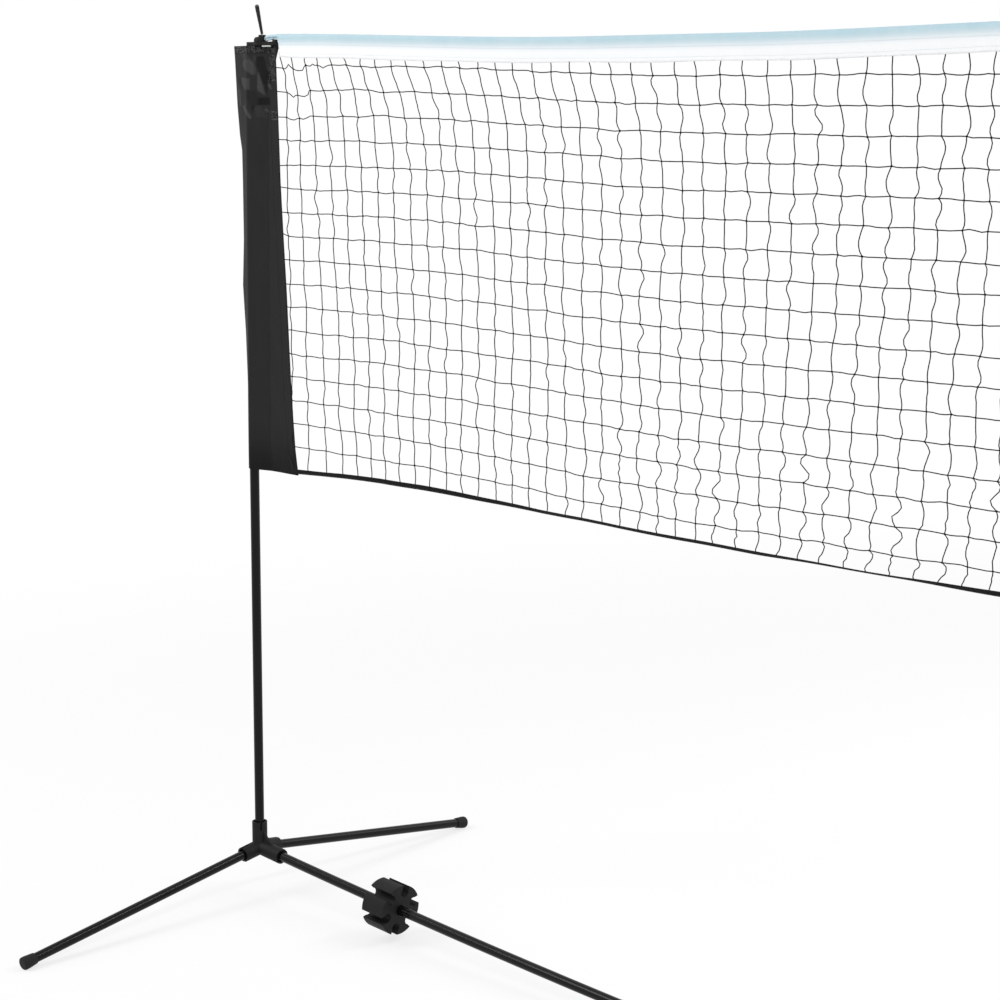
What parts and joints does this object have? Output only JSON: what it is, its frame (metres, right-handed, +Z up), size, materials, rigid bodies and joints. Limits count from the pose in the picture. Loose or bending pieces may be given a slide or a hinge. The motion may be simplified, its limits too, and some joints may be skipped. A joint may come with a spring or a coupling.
{
  "type": "mini tennis net",
  "caption": "Free-standing mini tennis or badminton net: black netting with a white head band between plug-together posts on splayed feet, joined by a bar along the floor",
  "frame": {"origin": "on the floor, midway between the two posts", "axes": "+X along the net to the right as seen in the picture, +Y away from the viewer across the court, +Z up"},
  "size_m": [5.8544, 1.0672, 1.6169],
  "materials": {
    "tube_paint": "satin black paint on steel tube",
    "moulded_black": "matt black moulding",
    "cap_rubber": "matt black rubber",
    "pull_plastic": "smooth black plastic",
    "cord_white": "braided white cord",
    "band_white": "white woven polyester",
    "net_black": "black knotted twine",
    "tape_black": "black folded tape",
    "sleeve_black": "black coated fabric"
  },
  "bodies": {
    "base_frame": {"left_base_connector": "moulded_black", "right_base_connector": "moulded_black", "bar_section_1": "tube_paint", "bar_section_2": "tube_paint", "bar_section_3": "tube_paint", "bar_section_4": "tube_paint", "bar_section_5": "tube_paint", "bar_section_6": "tube_paint"},
    "left_front_foot": {"left_front_leg": "tube_paint", "left_front_leg_cap": "cap_rubber"},
    "left_back_foot": {"left_back_leg": "tube_paint", "left_back_leg_cap": "cap_rubber"},
    "right_back_foot": {"right_back_leg": "tube_paint", "right_back_leg_cap": "cap_rubber"},
    "right_front_foot": {"right_front_leg": "tube_paint", "right_front_leg_cap": "cap_rubber"},
    "left_clip": {"left_storage_clip": "moulded_black"},
    "right_clip": {"right_storage_clip": "moulded_black"},
    "left_post_foot": {"left_lower_post": "tube_paint"},
    "right_post_foot": {"right_lower_post": "tube_paint"},
    "net_set": {"left_upper_post": "tube_paint", "left_post_cap": "moulded_black", "left_cord_lock": "moulded_black", "left_cord_pull": "pull_plastic", "left_corner_loop": "cord_white", "left_side_sleeve": "sleeve_black", "right_upper_post": "tube_paint", "right_post_cap": "moulded_black", "right_cord_lock": "moulded_black", "right_cord_pull": "pull_plastic", "right_corner_loop": "cord_white", "right_side_sleeve": "sleeve_black", "head_band": "band_white", "tension_cord": "cord_white", "netting": "net_black", "bottom_tape": "tape_black"}
  },
  "joints": [
    {"name": "left_front_leg_slide", "type": "slide", "parent": "base_frame", "child": "left_front_foot", "axis": [0.013, -0.9896, -0.1431], "range_m": [0, 0.022]},
    {"name": "left_back_leg_slide", "type": "slide", "parent": "base_frame", "child": "left_back_foot", "axis": [0.013, 0.9896, -0.1431], "range_m": [0, 0.022]},
    {"name": "right_back_leg_slide", "type": "slide", "parent": "base_frame", "child": "right_back_foot", "axis": [-0.013, 0.9896, -0.1431], "range_m": [0, 0.022]},
    {"name": "right_front_leg_slide", "type": "slide", "parent": "base_frame", "child": "right_front_foot", "axis": [-0.013, -0.9896, -0.1431], "range_m": [0, 0.022]},
    {"name": "left_clip_slide", "type": "slide", "parent": "base_frame", "child": "left_clip", "axis": [0.9978, 0, -0.0669], "range_m": [-0.15, 0.15]},
    {"name": "right_clip_slide", "type": "slide", "parent": "base_frame", "child": "right_clip", "axis": [-0.9978, 0, -0.0669], "range_m": [-0.15, 0.15]},
    {"name": "left_post_lift", "type": "slide", "parent": "base_frame", "child": "left_post_foot", "axis": [0, 0, 1], "range_m": [0, 0.028]},
    {"name": "right_post_lift", "type": "slide", "parent": "base_frame", "child": "right_post_foot", "axis": [0, 0, 1], "range_m": [0, 0.028]},
    {"name": "net_lift", "type": "slide", "parent": "left_post_foot", "child": "net_set", "axis": [0, 0, 1], "range_m": [0, 0.04]}
  ],
  "couplings": [
    {"joint": "right_post_lift", "follows": "left_post_lift", "ratio": 1}
  ]
}
